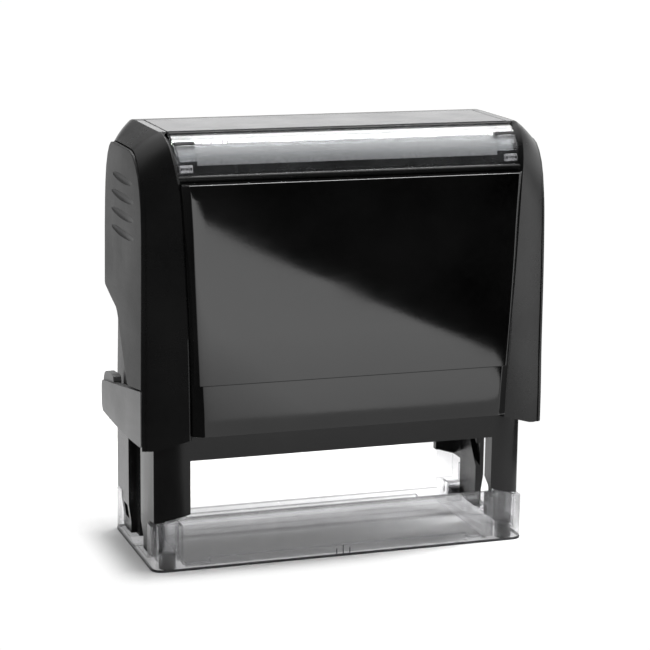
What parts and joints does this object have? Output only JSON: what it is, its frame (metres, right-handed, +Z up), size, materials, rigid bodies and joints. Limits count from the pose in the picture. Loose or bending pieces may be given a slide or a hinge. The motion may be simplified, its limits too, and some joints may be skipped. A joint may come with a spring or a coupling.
{
  "type": "self-inking stamp",
  "caption": "Self-inking rectangular stamp: a sprung cap slides down over a frame on a clear foot while the die flips from the ink pad to the paper.",
  "frame": {"origin": "centre of the imprint on the paper, at the underside of the clear foot", "axes": "+X along the long side of the imprint, -Y the front with the gloss panel and the index window, +Z up along the stroke of the cap"},
  "size_m": [0.0982, 0.0474, 0.0992],
  "materials": {
    "foot": "clear moulded plastic, slightly smoked",
    "foot_pads": "soft black rubber",
    "frame": "fine-grained black plastic",
    "cap_shell": "fine-grained black plastic",
    "front_panel": "polished black plastic",
    "rear_panel": "polished black plastic",
    "top_plate": "satin light grey face on black plastic",
    "side_grip": "grained dark grey plastic",
    "index_window": "clear moulded plastic",
    "index_card": "plain coated card",
    "bridge": "black plastic",
    "return_spring": "bright drawn wire",
    "die_carrier": "black plastic",
    "die_cushion": "pale foam rubber",
    "rubber_die": "engraved red-brown rubber",
    "ink_pad_tray": "black plastic",
    "ink_pad_felt": "inked felt",
    "lock_button": "satin dark grey plastic"
  },
  "bodies": {
    "base": {"foot": "foot", "foot_pads": "foot_pads", "frame": "frame", "return_spring_left": "return_spring", "return_spring_right": "return_spring"},
    "cap": {"cap_shell": "cap_shell", "front_panel": "front_panel", "rear_panel": "rear_panel", "top_plate": "top_plate", "side_grip_left": "side_grip", "side_grip_right": "side_grip", "index_card": "index_card", "bridge": "bridge"},
    "window": {"index_window": "index_window"},
    "die": {"die_carrier": "die_carrier", "die_cushion": "die_cushion", "rubber_die": "rubber_die"},
    "pad": {"ink_pad_tray": "ink_pad_tray", "ink_pad_felt": "ink_pad_felt"},
    "lock_left": {"lock_button_left": "lock_button"},
    "lock_right": {"lock_button_right": "lock_button"}
  },
  "joints": [
    {"name": "press", "type": "slide", "parent": "base", "child": "cap", "axis": [0, 0, -1], "range_m": [0, 0.028], "stiffness_N_per_m": 300, "springref_m": -0.02, "deforming": ["return_spring_left", "return_spring_right"]},
    {"name": "die_flip", "type": "hinge", "parent": "cap", "child": "die", "pos_m": [0, 0, 0.0348], "axis": [-1, 0, 0], "range_deg": [0, 180.05]},
    {"name": "pad_slide", "type": "slide", "parent": "base", "child": "pad", "axis": [0, -1, 0], "range_m": [-0.034, 0]},
    {"name": "lock_left_press", "type": "slide", "parent": "cap", "child": "lock_left", "axis": [1, 0, 0], "range_m": [0, 0.0009]},
    {"name": "lock_right_press", "type": "slide", "parent": "cap", "child": "lock_right", "axis": [-1, 0, 0], "range_m": [0, 0.0009]},
    {"name": "window_lift", "type": "hinge", "parent": "cap", "child": "window", "pos_m": [0, -0.01275, 0.09845], "axis": [-1, 0, 0], "range_deg": [0, 70]}
  ],
  "couplings": [
    {"joint": "die_flip", "follows": "press", "rad_per_m": 112.2}
  ]
}
